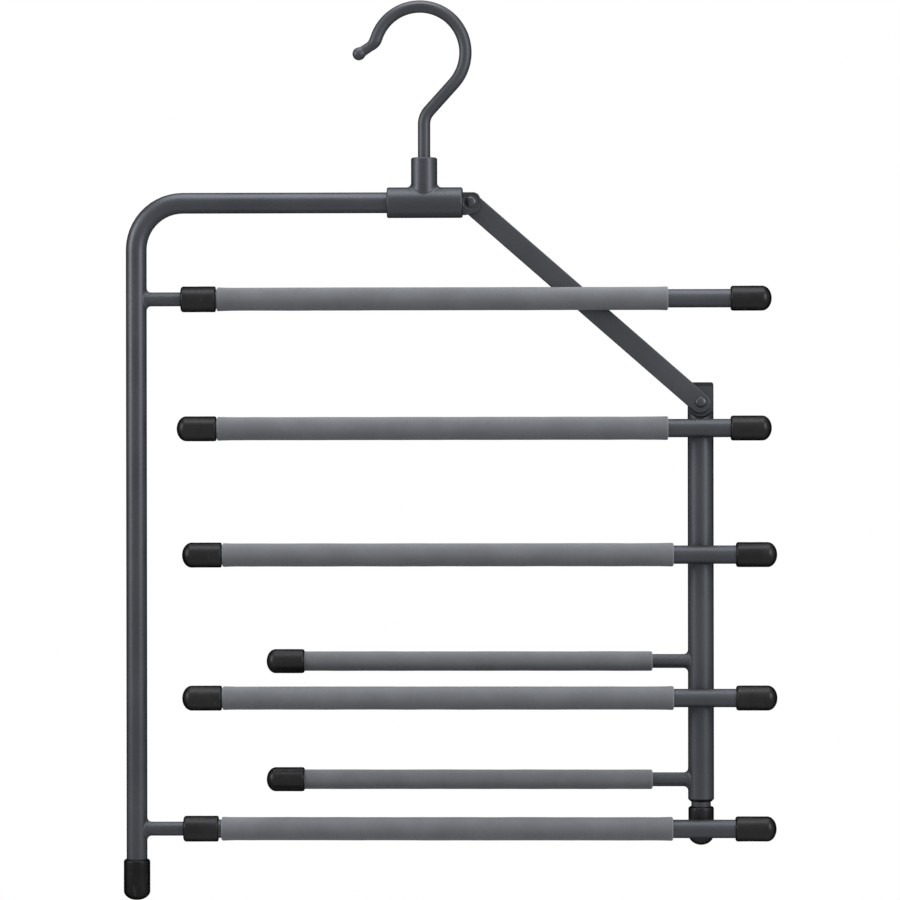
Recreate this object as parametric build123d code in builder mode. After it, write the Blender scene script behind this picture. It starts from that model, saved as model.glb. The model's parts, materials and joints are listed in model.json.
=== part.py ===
"""Multi tier trouser hanger: a swivel hook, a bent tube frame and a riveted post of bars.

Millimetres. The origin is where a closet rail touches the crown of the hook.
X runs to the right, Y away from the viewer and Z up.
"""

import os
from math import cos, radians, sin, sqrt

from build123d import *

os.makedirs("parts", exist_ok=True)

# Fits and running gaps, all measured on the radius or between two faces
fit_gap = 0.05
running_gap = 0.06
rivet_play = 0.15
side_gap = 0.35
overrun = 1.0

# Hook: round wire with a ball end, peened into a collar inside the tee
wire_dia = 6.2
hook_inner_radius = 20.1
stem_offset = 2.5
hook_height = 72.6
shank_slope = 48.0
shank_bend_radius = 10.0
lip_angle = 163.0
lip_slope = 32.0
lip_lead = 3.1
lip_length = 8.3
lip_bend_radius = 5.0
lip_neck_dia = 4.3
lip_neck_length = 5.9
ball_dia = 6.5
stem_tenon_dia = 4.2
peen_dia = 6.0
peen_height = 0.8
collar_dia = 8.0
collar_height = 1.8

# Tee: sleeve over the top tube, socket for the hook and tongue for the brace
tee_dia = 15.3
tee_left_reach = 18.6
tee_right_reach = 19.3
tee_height = 22.4
socket_dia = 13.1
socket_edge_radius = 0.9
tee_edge_radius = 0.8
tee_nose_radius = 1.2
tee_blend_radius = 2.2
tube_grip = 13.0
tongue_thickness = 2.4
tongue_reach = 4.75
tongue_corner_radius = 3.6
tongue_depth_below = 6.6
tongue_rim = 0.5
tongue_recess = 0.35

# Frame tube: one tube, bent once
frame_tube_dia = 10.4
frame_tube_wall = 1.2
frame_bend_radius = 23.3
frame_reach = 144.0
frame_drop = 348.1

# Long bars: tube, sleeve and caps
bar_tube_dia = 9.2
bar_tube_wall = 1.0
bar_bare_length = 31.1
sleeve_dia = 11.6
sleeve_flare_dia = 12.0
sleeve_flare_length = 5.0
sleeve_edge_radius = 0.4
cap_dia = 12.5
cap_length = 20.5
cap_dome = 3.8
cap_crown = 3.0
cap_edge_radius = 0.5
left_cap_length = 19.8
sleeve_to_cap = 0.4
ferrule_dia = 12.9
ferrule_length = 17.4
ferrule_nose_radius = 1.4
ferrule_nose_wall = 3.0
ferrule_reach = 22.3
bar_1_ferrule_gap = 0.6
bar_5_ferrule_gap = 1.6

# Stubs and short arms: round rod, welded on
rod_dia = 7.0
stub_grip = 22.0
weld_radius = 2.2
arm_sleeve_dia = 9.8
arm_sleeve_length = 174.5
arm_cap_dia = 12.1
arm_cap_length = 19.1
arm_cap_lap = 3.0
arm_bare_length = 24.3

# Tier heights, measured down from the axis of the top tube
bar_1_drop = 48.0
bar_2_drop = 112.7
bar_3_drop = 175.8
bar_4_drop = 247.3
bar_5_drop = 312.5
arm_a_drop = 229.4
arm_b_drop = 288.7

# How far each long bar runs on past the axis of the post
upper_overhang = 35.0
lower_overhang = 37.6
bottom_overhang = 37.1

# Post: tube with a seat pressed into its front for the brace
post_reach = 138.15
post_dia = 13.0
post_wall = 1.2
post_top_drop = 91.7
post_length = 206.5
weld_bed = 0.25
seat_radius = 7.1
seat_draft = 15.0
plug_height = 2.0
plug_inset = 0.25
plug_grip = 6.0
plug_edge_radius = 0.6
bush_height = 1.5
bush_chamfer = 1.2
bush_grip = 10.0
spigot_dia = 9.8
spigot_grip = 14.0
neck_height = 2.5
foot_cap_dia = 12.8
foot_cap_length = 19.3
foot_cap_dome = 4.5
foot_cap_crown = 3.5
foot_cap_chamfer = 1.0
frame_cap_dia = 13.2
frame_cap_length = 20.5

# Brace: flat link between two rivets
brace_width = 10.4
brace_thickness = 2.0
brace_edge_radius = 0.3
tee_rivet_reach = 23.2
tee_rivet_rise = 0.7
post_rivet_drop = 99.75
brace_end_shift = 2.3
brace_hole_offset = 0.5
rivet_dia = 3.0
rivet_head_dia = 5.3
rivet_head_height = 1.2
rivet_dome_share = 0.8

# Places worked out from the sizes above
wire_radius = wire_dia / 2
loop_radius = hook_inner_radius + wire_radius
stem_x = stem_offset
socket_top_z = -hook_height
top_z = socket_top_z - tee_height
frame_x = stem_x - frame_reach
post_x = stem_x + post_reach
rivet_t = Vector(stem_x + tee_rivet_reach, 0, top_z + tee_rivet_rise)
rivet_p = Vector(post_x, 0, top_z - post_rivet_drop)
top_sleeve_right_x = post_x + upper_overhang - cap_length - bar_bare_length
top_sleeve_left_x = frame_x + ferrule_reach + ferrule_length + bar_1_ferrule_gap
sleeve_length = top_sleeve_right_x - top_sleeve_left_x

# Depths: the brace runs behind the caps and the post behind the brace
brace_front_y = max(cap_dia, sleeve_flare_dia) / 2 + side_gap
brace_back_y = brace_front_y + brace_thickness
tongue_back_y = brace_front_y - rivet_play
tongue_front_y = tongue_back_y - tongue_thickness
seat_y = brace_back_y + rivet_play
post_y = bar_tube_dia / 2 + side_gap + foot_cap_dia / 2
post_front_y = post_y - post_dia / 2
post_bar_y = post_front_y + weld_bed - bar_tube_dia / 2
post_top_z = top_z - post_top_drop
post_bottom_z = post_top_z - post_length


def save(piece, name):
    """Label a finished piece and write it."""
    piece.part.label = name
    export_step(piece.part, f"parts/{name}.step")


def outer_rim(piece, axis, end):
    """Widest circle of a turned piece at one end of an axis: 0 is the low end and -1 the high."""
    return piece.edges().group_by(axis)[end].filter_by(GeomType.CIRCLE).sort_by(SortBy.RADIUS)[-1]


def lathe_plane(x, y, z, along):
    """Plane for a turned profile: local x runs along the axis and local y is the radius."""
    side = Vector(0, 0, 1) if along.Z == 0 else Vector(1, 0, 0)
    return Plane(origin=(x, y, z), x_dir=along, z_dir=along.cross(side))


def turned_cap(plane, length, diameter, bore_dia, crown, dome, edge, chamfered=False):
    """Rubber cap with a domed end: its mouth lies at the plane's origin."""
    bore = bore_dia / 2 + fit_gap
    with BuildPart() as cap:
        with BuildSketch(plane):
            with BuildLine():
                Line((0, bore), (0, diameter / 2))
                Line((0, diameter / 2), (length - dome, diameter / 2))
                EllipticalCenterArc((length - dome, 0), dome, diameter / 2, arc_size=90)
                Line((length, 0), (length - crown, 0))
                Line((length - crown, 0), (length - crown, bore))
                Line((length - crown, bore), (0, bore))
            make_face()
        revolve(axis=Axis(plane.origin, plane.x_dir))
        rim = outer_rim(cap, Axis(plane.origin, plane.x_dir), 0)
        if chamfered:
            chamfer(rim, edge)
        else:
            fillet(rim, edge)
    return cap


def turned_sleeve(x, y, z, length, diameter, flare_dia, bore_dia):
    """Non-slip rubber sleeve, drawn on and a little wider at its cut ends."""
    plane = lathe_plane(x, y, z, Vector(1, 0, 0))
    bore = bore_dia / 2 + fit_gap
    with BuildPart() as sleeve:
        with BuildSketch(plane):
            with BuildLine():
                Polyline(
                    (0, bore),
                    (0, flare_dia / 2),
                    (sleeve_flare_length, diameter / 2),
                    (length - sleeve_flare_length, diameter / 2),
                    (length, flare_dia / 2),
                    (length, bore),
                    close=True,
                )
            make_face()
        revolve(axis=Axis(plane.origin, plane.x_dir))
        fillet([outer_rim(sleeve, Axis.X, 0), outer_rim(sleeve, Axis.X, -1)], sleeve_edge_radius)
    return sleeve


def round_bar(x_start, x_end, y, z, diameter, wall=0):
    """Straight round rod or tube along X."""
    with BuildPart() as bar:
        with BuildSketch(Plane(origin=(x_start, y, z), x_dir=(0, 1, 0), z_dir=(1, 0, 0))):
            Circle(diameter / 2)
            if wall:
                Circle(diameter / 2 - wall, mode=Mode.SUBTRACT)
        extrude(amount=x_end - x_start)
    return bar


def welded_rod(x_upright, y, z, upright_dia, x_end):
    """Rod along X whose end flares in a weld bead round an upright tube."""
    side = 1 if x_end > x_upright else -1
    bead_zone = rod_dia + weld_radius * 4
    with BuildPart() as rod:
        with BuildSketch(Plane(origin=(x_upright, y, z - bead_zone / 2))):
            Circle(upright_dia / 2)
        extrude(amount=bead_zone)
        with BuildSketch(Plane(origin=(x_upright, y, z), x_dir=(0, 1, 0), z_dir=(side, 0, 0))):
            Circle(rod_dia / 2)
        extrude(amount=abs(x_end - x_upright))
        corner = rod.edges().filter_by(
            lambda e: e.geom_type not in (GeomType.CIRCLE, GeomType.LINE)
        )
        fillet(corner, weld_radius)
        with BuildSketch(Plane(origin=(x_upright, y, z - bead_zone))):
            Circle(upright_dia / 2)
        extrude(amount=bead_zone * 2, mode=Mode.SUBTRACT)
    return rod


# Hook wire: stem, knee, loop and lip swept in one, with the ball turned on the lip's end
def loop_point(angle):
    """Point of the loop's centreline, in X and Z."""
    return (loop_radius * cos(radians(angle)), loop_radius * sin(radians(angle)) - hook_inner_radius)


seat_face_z = top_z + sqrt((frame_tube_dia / 2) ** 2 - (collar_dia / 2) ** 2)
stem_end_z = seat_face_z - running_gap
shank_start = loop_point(shank_slope - 90)
knee_drop = (shank_start[0] - stem_x) * sin(radians(shank_slope)) / cos(radians(shank_slope))
knee = (stem_x, shank_start[1] - knee_drop)
lip_start = loop_point(lip_angle)
lip_corner = (
    lip_start[0] - lip_lead * sin(radians(lip_angle)),
    lip_start[1] + lip_lead * cos(radians(lip_angle)),
)
lip_direction = Vector(-cos(radians(lip_slope)), 0, -sin(radians(lip_slope)))
ball_centre = Vector(lip_corner[0], 0, lip_corner[1]) + lip_direction * lip_length
neck_start = ball_centre - lip_direction * lip_neck_length

with BuildPart() as hook_wire:
    with BuildLine(Plane.XZ) as hook_path:
        FilletPolyline((stem_x, stem_end_z), knee, shank_start, radius=shank_bend_radius)
        CenterArc(
            (0, -hook_inner_radius), loop_radius, shank_slope - 90, lip_angle + 90 - shank_slope
        )
        FilletPolyline(lip_start, lip_corner, (neck_start.X, neck_start.Z), radius=lip_bend_radius)
    with BuildSketch(Plane.XY.offset(stem_end_z)):
        with Locations((stem_x, 0)):
            Circle(wire_radius)
    sweep(path=hook_path.wires()[0])
    neck_plane = Plane(origin=neck_start, x_dir=(0, 1, 0), z_dir=lip_direction)
    with BuildSketch(neck_plane):
        Circle(wire_radius)
    with BuildSketch(neck_plane.offset(lip_neck_length)):
        Circle(lip_neck_dia / 2)
    loft()
    with Locations(Location(ball_centre)):
        Sphere(ball_dia / 2)
    with BuildSketch(Plane.XY.offset(stem_end_z)):
        with Locations((stem_x, 0)):
            Circle(stem_tenon_dia / 2)
    extrude(amount=-collar_height)
    with BuildSketch(Plane.XY.offset(stem_end_z - collar_height)):
        with Locations((stem_x, 0)):
            Circle(peen_dia / 2)
    extrude(amount=-peen_height)
save(hook_wire, "hook_wire")

# Collar: washer under the stem's shoulder, held by the peened end
with BuildPart() as hook_collar:
    with BuildSketch(Plane.XY.offset(stem_end_z)):
        with Locations((stem_x, 0)):
            Circle(collar_dia / 2 - running_gap)
            Circle(stem_tenon_dia / 2 + fit_gap, mode=Mode.SUBTRACT)
    extrude(amount=-collar_height)
save(hook_collar, "hook_collar")

# Tee: cast in one, with the socket blended into the sleeve and a tongue set to the rear
tee_left_x = stem_x - tee_left_reach
tee_right_x = stem_x + tee_right_reach
tongue_plane = Plane.XZ.offset(-tongue_front_y)

with BuildPart() as hanger_tee:
    with BuildSketch(Plane(origin=(tee_left_x, 0, top_z), x_dir=(0, 1, 0), z_dir=(1, 0, 0))):
        Circle(tee_dia / 2)
    extrude(amount=tee_left_reach + tee_right_reach)
    fillet(hanger_tee.edges().group_by(Axis.X)[0], tee_edge_radius)
    fillet(hanger_tee.edges().group_by(Axis.X)[-1], tee_nose_radius)
    with BuildSketch(Plane.XY.offset(top_z)):
        with Locations((stem_x, 0)):
            Circle(socket_dia / 2)
    extrude(amount=tee_height)
    fillet(hanger_tee.edges().group_by(Axis.Z)[-1], socket_edge_radius)
    branch = hanger_tee.edges().filter_by(
        lambda e: e.geom_type not in (GeomType.CIRCLE, GeomType.LINE)
    )
    fillet(branch, tee_blend_radius)
    with BuildSketch(tongue_plane) as tongue:
        with BuildLine():
            Polyline(
                (tee_right_x - tee_nose_radius * 2, rivet_t.Z + tongue_reach),
                (rivet_t.X + tongue_reach, rivet_t.Z + tongue_reach),
                (rivet_t.X + tongue_reach, rivet_t.Z - tongue_reach),
                (rivet_t.X - tongue_reach / 2, rivet_t.Z - tongue_depth_below),
                (tee_right_x - tee_nose_radius * 2, rivet_t.Z - tongue_depth_below),
                close=True,
            )
        make_face()
        fillet(tongue.vertices().group_by(Axis.X)[-1], tongue_corner_radius)
    extrude(amount=-tongue_thickness)
    with BuildSketch(tongue_plane):
        with Locations((rivet_t.X, rivet_t.Z)):
            Circle(tongue_reach - tongue_rim)
    extrude(amount=-tongue_recess, mode=Mode.SUBTRACT)
    with BuildSketch(tongue_plane):
        with Locations((rivet_t.X, rivet_t.Z)):
            Circle(rivet_dia / 2 + fit_gap)
    extrude(amount=-tongue_thickness, mode=Mode.SUBTRACT)
    with BuildSketch(Plane(origin=(tee_left_x, 0, top_z), x_dir=(0, 1, 0), z_dir=(1, 0, 0))):
        Circle(frame_tube_dia / 2 + fit_gap)
    extrude(amount=tee_left_reach + collar_dia / 2 + side_gap, mode=Mode.SUBTRACT)
    with BuildSketch(Plane.XY.offset(top_z)):
        with Locations((stem_x, 0)):
            Circle(wire_radius + running_gap)
    extrude(amount=tee_height, mode=Mode.SUBTRACT)
save(hanger_tee, "hanger_tee")

# Frame tube: up from the foot, round the bend and along into the tee
frame_cap_bottom_z = top_z - frame_drop
frame_tube_end_z = frame_cap_bottom_z + foot_cap_crown
with BuildPart() as main_tube:
    with BuildLine(Plane.XZ) as tube_path:
        FilletPolyline(
            (frame_x, frame_tube_end_z),
            (frame_x, top_z),
            (tee_left_x + tube_grip, top_z),
            radius=frame_bend_radius,
        )
    with BuildSketch(Plane.XY.offset(frame_tube_end_z)):
        with Locations((frame_x, 0)):
            Circle(frame_tube_dia / 2)
            Circle(frame_tube_dia / 2 - frame_tube_wall, mode=Mode.SUBTRACT)
    sweep(path=tube_path.wires()[0])
save(main_tube, "main_tube")

frame_foot_cap = turned_cap(
    lathe_plane(frame_x, 0, frame_cap_bottom_z + frame_cap_length, Vector(0, 0, -1)),
    frame_cap_length,
    frame_cap_dia,
    frame_tube_dia,
    foot_cap_crown,
    foot_cap_dome,
    foot_cap_chamfer,
    chamfered=True,
)
save(frame_foot_cap, "frame_foot_cap")


def sleeve_left_x(overhang):
    """Left end of a long bar's sleeve, from where the bar ends on the right."""
    return post_x + overhang - cap_length - bar_bare_length - sleeve_length


def dress_bar(name, overhang, y, z, tube_left_x):
    """Tube, sleeve and right cap of one long bar."""
    right_x = post_x + overhang
    tube_right_x = right_x - cap_crown
    save(round_bar(tube_left_x, tube_right_x, y, z, bar_tube_dia, bar_tube_wall), f"{name}_tube")
    sleeve = turned_sleeve(
        sleeve_left_x(overhang), y, z, sleeve_length, sleeve_dia, sleeve_flare_dia, bar_tube_dia
    )
    save(sleeve, f"{name}_sleeve")
    mouth = lathe_plane(right_x - cap_length, y, z, Vector(1, 0, 0))
    cap = turned_cap(mouth, cap_length, cap_dia, bar_tube_dia, cap_crown, cap_dome, cap_edge_radius)
    save(cap, f"{name}_cap")


# Bars 1 and 5: held on the left tube by a welded stub inside the bar, under a rubber ferrule
for name, drop, overhang, ferrule_gap in (
    ("bar_1", bar_1_drop, upper_overhang, bar_1_ferrule_gap),
    ("bar_5", bar_5_drop, bottom_overhang, bar_5_ferrule_gap),
):
    bar_z = top_z - drop
    ferrule_left_x = sleeve_left_x(overhang) - ferrule_gap - ferrule_length
    fixed_tube_left_x = ferrule_left_x + ferrule_nose_wall
    dress_bar(name, overhang, 0, bar_z, fixed_tube_left_x)
    stub = welded_rod(frame_x, 0, bar_z, frame_tube_dia, fixed_tube_left_x + stub_grip)
    save(stub, f"{name}_stub")
    with BuildPart() as ferrule:
        with BuildSketch(Plane(origin=(ferrule_left_x, 0, bar_z), x_dir=(0, 1, 0), z_dir=(1, 0, 0))):
            Circle(ferrule_dia / 2)
            Circle(rod_dia / 2 + fit_gap, mode=Mode.SUBTRACT)
        extrude(amount=ferrule_length)
        fillet(outer_rim(ferrule, Axis.X, 0), ferrule_nose_radius)
        fillet(outer_rim(ferrule, Axis.X, -1), cap_edge_radius)
        with BuildSketch(Plane(origin=(fixed_tube_left_x, 0, bar_z), x_dir=(0, 1, 0), z_dir=(1, 0, 0))):
            Circle(bar_tube_dia / 2 + fit_gap)
        extrude(amount=ferrule_length, mode=Mode.SUBTRACT)
    save(ferrule, f"{name}_ferrule")

# Bars 2, 3 and 4: bedded in the front of the post, with a cap on their free left end
for name, drop, overhang in (
    ("bar_2", bar_2_drop, upper_overhang),
    ("bar_3", bar_3_drop, lower_overhang),
    ("bar_4", bar_4_drop, lower_overhang),
):
    bar_z = top_z - drop
    left_mouth_x = sleeve_left_x(overhang) - sleeve_to_cap
    left_x = left_mouth_x - left_cap_length
    dress_bar(name, overhang, post_bar_y, bar_z, left_x + cap_crown)
    left_cap = turned_cap(
        lathe_plane(left_mouth_x, post_bar_y, bar_z, Vector(-1, 0, 0)),
        left_cap_length,
        cap_dia,
        bar_tube_dia,
        cap_crown,
        cap_dome,
        cap_edge_radius,
    )
    save(left_cap, f"{name}_left_cap")

# Post: tube with a drafted seat pressed into its front, open at the top for the plug
seat_floor_z = rivet_p.Z - seat_radius
with BuildPart() as post_tube:
    with BuildSketch(Plane.XY.offset(post_bottom_z)):
        with Locations((post_x, post_y)):
            Circle(post_dia / 2)
    extrude(amount=post_length)
    with BuildSketch(Plane.XZ.offset(-seat_y)):
        with Locations((rivet_p.X, rivet_p.Z)):
            Circle(seat_radius)
            with Locations((0, post_top_drop)):
                Rectangle(seat_radius * 2, post_top_drop * 2)
    extrude(amount=seat_y - post_front_y + overrun, taper=-seat_draft, mode=Mode.SUBTRACT)
    with BuildSketch(Plane.XY.offset(post_bottom_z)):
        with Locations((post_x, post_y)):
            Circle(post_dia / 2 - post_wall)
    extrude(amount=seat_floor_z - post_wall - post_bottom_z, mode=Mode.SUBTRACT)
    with BuildSketch(Plane.XY.offset(seat_floor_z - post_wall)):
        with Locations((post_x, post_y)):
            Circle(post_dia / 2 - post_wall)
        with Locations((post_x, seat_y + post_wall + post_dia / 2)):
            Rectangle(post_dia, post_dia, mode=Mode.INTERSECT)
    extrude(amount=post_top_z - seat_floor_z + post_wall, mode=Mode.SUBTRACT)
    for drop in (bar_2_drop, bar_3_drop, bar_4_drop):
        bed = Plane(
            origin=(post_x - post_dia, post_bar_y, top_z - drop), x_dir=(0, 1, 0), z_dir=(1, 0, 0)
        )
        with BuildSketch(bed):
            Circle(bar_tube_dia / 2)
        extrude(amount=post_dia * 2, mode=Mode.SUBTRACT)
    with BuildSketch(Plane.XZ.offset(-seat_y)):
        with Locations((rivet_p.X, rivet_p.Z)):
            Circle(rivet_dia / 2 + fit_gap)
    extrude(amount=-post_dia, mode=Mode.SUBTRACT)
save(post_tube, "post_tube")


def pressed_outline(radius, front_y):
    """Face of a round bar that is pressed flat at the front, for the sketch in use."""
    with Locations((post_x, post_y)):
        Circle(radius)
    with Locations((post_x, front_y + post_dia)):
        Rectangle(post_dia * 2, post_dia * 2, mode=Mode.INTERSECT)


# Plug: the rounded head that shows and a shank in the post's pressed bore
with BuildPart() as post_top_plug:
    with BuildSketch(Plane.XY.offset(post_top_z)):
        pressed_outline(post_dia / 2 - plug_inset, seat_y + plug_inset)
    extrude(amount=plug_height)
    fillet(post_top_plug.edges().group_by(Axis.Z)[-1], plug_edge_radius)
    with BuildSketch(Plane.XY.offset(post_top_z)):
        pressed_outline(post_dia / 2 - post_wall - fit_gap, seat_y + post_wall + fit_gap)
    extrude(amount=-plug_grip)
save(post_top_plug, "post_top_plug")

# Bush, spigot and foot cap below the post
bush_bottom_z = post_bottom_z - bush_height
with BuildPart() as post_bottom_bush:
    with BuildSketch(Plane.XY.offset(bush_bottom_z)):
        with Locations((post_x, post_y)):
            Circle(post_dia / 2)
    extrude(amount=bush_height)
    chamfer(post_bottom_bush.edges().group_by(Axis.Z)[0], bush_chamfer)
    with BuildSketch(Plane.XY.offset(post_bottom_z)):
        with Locations((post_x, post_y)):
            Circle(post_dia / 2 - post_wall - fit_gap)
    extrude(amount=bush_grip)
    with BuildSketch(Plane.XY.offset(bush_bottom_z)):
        with Locations((post_x, post_y)):
            Circle(spigot_dia / 2 + fit_gap)
    extrude(amount=bush_height + bush_grip, mode=Mode.SUBTRACT)
save(post_bottom_bush, "post_bottom_bush")

foot_mouth_z = bush_bottom_z - neck_height
spigot_end_z = foot_mouth_z - foot_cap_length + foot_cap_crown
with BuildPart() as post_spigot:
    with BuildSketch(Plane.XY.offset(spigot_end_z)):
        with Locations((post_x, post_y)):
            Circle(spigot_dia / 2)
    extrude(amount=post_bottom_z + spigot_grip - spigot_end_z)
save(post_spigot, "post_spigot")

post_foot_cap = turned_cap(
    lathe_plane(post_x, post_y, foot_mouth_z, Vector(0, 0, -1)),
    foot_cap_length,
    foot_cap_dia,
    spigot_dia,
    foot_cap_crown,
    foot_cap_dome,
    cap_edge_radius,
)
save(post_foot_cap, "post_foot_cap")

# Short arms: a rod welded to the post's left side, a sleeve, and a cap over the sleeve's end
for name, drop in (("arm_a", arm_a_drop), ("arm_b", arm_b_drop)):
    arm_z = top_z - drop
    sleeve_right_x = post_x - arm_bare_length
    sleeve_start_x = sleeve_right_x - arm_sleeve_length - arm_cap_lap
    mouth_x = sleeve_start_x + arm_cap_lap
    rod_end_x = mouth_x - arm_cap_length + cap_crown
    save(welded_rod(post_x, post_y, arm_z, post_dia, rod_end_x), f"{name}_rod")
    arm_sleeve = turned_sleeve(
        rod_end_x, post_y, arm_z, sleeve_right_x - rod_end_x, arm_sleeve_dia, arm_sleeve_dia, rod_dia
    )
    save(arm_sleeve, f"{name}_sleeve")
    arm_cap = turned_cap(
        lathe_plane(mouth_x, post_y, arm_z, Vector(-1, 0, 0)),
        arm_cap_length,
        arm_cap_dia,
        arm_sleeve_dia,
        cap_crown,
        cap_dome,
        cap_edge_radius,
    )
    save(arm_cap, f"{name}_cap")

# Brace: flat bar with round ends, holed a little above its middle; its upper end is short so
# that it clears the tee
brace_run = rivet_p - rivet_t
brace_length = brace_run.length
brace_plane = Plane(
    origin=(rivet_t.X, brace_front_y, rivet_t.Z), x_dir=brace_run.normalized(), z_dir=(0, 1, 0)
)
with BuildPart() as brace_bar:
    with BuildSketch(brace_plane):
        with Locations((brace_end_shift, brace_hole_offset), (brace_length, brace_hole_offset)):
            Circle(brace_width / 2)
        with Locations(((brace_end_shift + brace_length) / 2, brace_hole_offset)):
            Rectangle(brace_length - brace_end_shift, brace_width)
        with Locations((0, 0), (brace_length, 0)):
            Circle(rivet_dia / 2 + running_gap, mode=Mode.SUBTRACT)
    extrude(amount=brace_thickness)
    outer = brace_bar.edges().filter_by(
        lambda e: e.geom_type == GeomType.LINE or e.radius > rivet_head_dia / 2
    )
    fillet(outer.filter_by(lambda e: abs(e.tangent_at(0).Y) < fit_gap), brace_edge_radius)
save(brace_bar, "brace_bar")


def solid_rivet(x, z, front_y, back_y, tube_y=0, tube_dia=0):
    """Rivet along Y with a low domed head at each end.

    A rear head that lies on a tube has its underside set to the curve of the tube.
    """
    front = Plane(origin=(x, front_y, z), x_dir=(1, 0, 0), z_dir=(0, -1, 0))
    sunk = rivet_head_height if tube_dia else 0
    rear = Plane(origin=(x, back_y - sunk, z), x_dir=(1, 0, 0), z_dir=(0, 1, 0))
    with BuildPart() as rivet:
        with BuildSketch(rear):
            Circle(rivet_head_dia / 2)
        extrude(amount=rivet_head_height + sunk)
        fillet(rivet.edges().group_by(Axis.Y)[-1], rivet_head_height * rivet_dome_share)
        if tube_dia:
            with BuildSketch(Plane(origin=(x, tube_y, z - rivet_head_dia))):
                Circle(tube_dia / 2)
            extrude(amount=rivet_head_dia * 2, mode=Mode.SUBTRACT)
        with BuildSketch(front):
            Circle(rivet_dia / 2)
        extrude(amount=front_y - back_y)
        with BuildSketch(front):
            Circle(rivet_head_dia / 2)
        extrude(amount=rivet_head_height)
        fillet(rivet.edges().group_by(Axis.Y)[0], rivet_head_height * rivet_dome_share)
    return rivet


# Rivets: each is fast in the piece that it closes on, and the brace turns on its shank
tee_rivet = solid_rivet(
    rivet_t.X, rivet_t.Z, tongue_front_y + tongue_recess, brace_back_y + rivet_play
)
save(tee_rivet, "tee_rivet")
post_rivet = solid_rivet(
    rivet_p.X, rivet_p.Z, brace_front_y - rivet_play, post_y + post_dia / 2, post_y, post_dia
)
save(post_rivet, "post_rivet")
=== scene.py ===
"""Looks of the multi tier trouser hanger: its finishes, and its rounded pieces in full shape."""
import json
import math

import bmesh
import bpy
from mathutils import Matrix, Vector

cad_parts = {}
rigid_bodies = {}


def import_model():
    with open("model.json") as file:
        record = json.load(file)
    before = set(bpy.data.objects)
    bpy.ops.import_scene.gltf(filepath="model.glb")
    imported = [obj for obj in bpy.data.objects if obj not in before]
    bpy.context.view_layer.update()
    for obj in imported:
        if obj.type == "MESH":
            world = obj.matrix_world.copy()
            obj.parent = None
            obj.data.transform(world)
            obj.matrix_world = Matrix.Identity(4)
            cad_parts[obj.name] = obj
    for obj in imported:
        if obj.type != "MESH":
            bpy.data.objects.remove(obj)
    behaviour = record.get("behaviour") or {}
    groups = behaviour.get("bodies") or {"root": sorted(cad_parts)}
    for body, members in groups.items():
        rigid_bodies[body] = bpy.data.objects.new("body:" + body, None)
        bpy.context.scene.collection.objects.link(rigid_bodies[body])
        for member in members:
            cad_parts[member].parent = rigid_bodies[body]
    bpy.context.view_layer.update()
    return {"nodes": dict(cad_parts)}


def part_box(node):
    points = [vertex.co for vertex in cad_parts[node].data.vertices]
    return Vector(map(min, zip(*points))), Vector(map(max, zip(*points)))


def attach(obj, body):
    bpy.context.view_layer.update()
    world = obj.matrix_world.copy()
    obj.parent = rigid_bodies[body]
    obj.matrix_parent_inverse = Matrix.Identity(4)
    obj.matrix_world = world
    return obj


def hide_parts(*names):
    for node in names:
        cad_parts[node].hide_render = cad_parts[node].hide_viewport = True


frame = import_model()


# Frame tube: one length of steel tube, bent once at the top left corner. It carries a satin
# charcoal powder coat, an even skin with a fine orange peel and a few paler grains in it.
def add(tree, kind, sockets=None, **settings):
    """Add a node, with its settings and the values of its inputs."""
    node = tree.nodes.new(kind)
    for name, value in settings.items():
        setattr(node, name, value)
    for name, value in (sockets or {}).items():
        node.inputs[name].default_value = value
    return node


def join(tree, *pairs):
    """Link pairs of sockets, each an output and the input that it feeds."""
    for output, fed in pairs:
        tree.links.new(output, fed)


def start_group(name, inputs, outputs):
    """Empty group of nodes with number sockets, and its two end nodes."""
    group = bpy.data.node_groups.new(name, "ShaderNodeTree")
    for label, value in inputs.items():
        socket = group.interface.new_socket(label, in_out="INPUT", socket_type="NodeSocketFloat")
        socket.default_value = value
    for label in outputs:
        group.interface.new_socket(label, in_out="OUTPUT", socket_type="NodeSocketFloat")
    return group, group.nodes.new("NodeGroupInput"), group.nodes.new("NodeGroupOutput")


powder_skin, skin_in, skin_out = start_group(
    "powder skin", {"Peel Scale": 1500.0, "Cloud Scale": 26.0}, ("Peel", "Cloud", "Grain")
)
place = add(powder_skin, "ShaderNodeTexCoord")
peel = add(powder_skin, "ShaderNodeTexNoise", {"Detail": 3.0, "Roughness": 0.55})
cloud = add(powder_skin, "ShaderNodeTexNoise", {"Detail": 4.0, "Roughness": 0.5})
cloud_spread = add(powder_skin, "ShaderNodeMapRange", {"From Min": 0.35, "From Max": 0.65})
cells = add(powder_skin, "ShaderNodeTexVoronoi")
grain_edge = add(powder_skin, "ShaderNodeMapRange", {"From Min": 0.2, "From Max": 0.05})
join(
    powder_skin,
    (place.outputs["Object"], peel.inputs["Vector"]),
    (place.outputs["Object"], cloud.inputs["Vector"]),
    (place.outputs["Object"], cells.inputs["Vector"]),
    (skin_in.outputs["Peel Scale"], peel.inputs["Scale"]),
    (skin_in.outputs["Cloud Scale"], cloud.inputs["Scale"]),
    (skin_in.outputs["Peel Scale"], cells.inputs["Scale"]),
    (cloud.outputs["Fac"], cloud_spread.inputs["Value"]),
    (cells.outputs["Distance"], grain_edge.inputs["Value"]),
    (peel.outputs["Fac"], skin_out.inputs["Peel"]),
    (cloud_spread.outputs["Result"], skin_out.inputs["Cloud"]),
    (grain_edge.outputs["Result"], skin_out.inputs["Grain"]),
)


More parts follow.
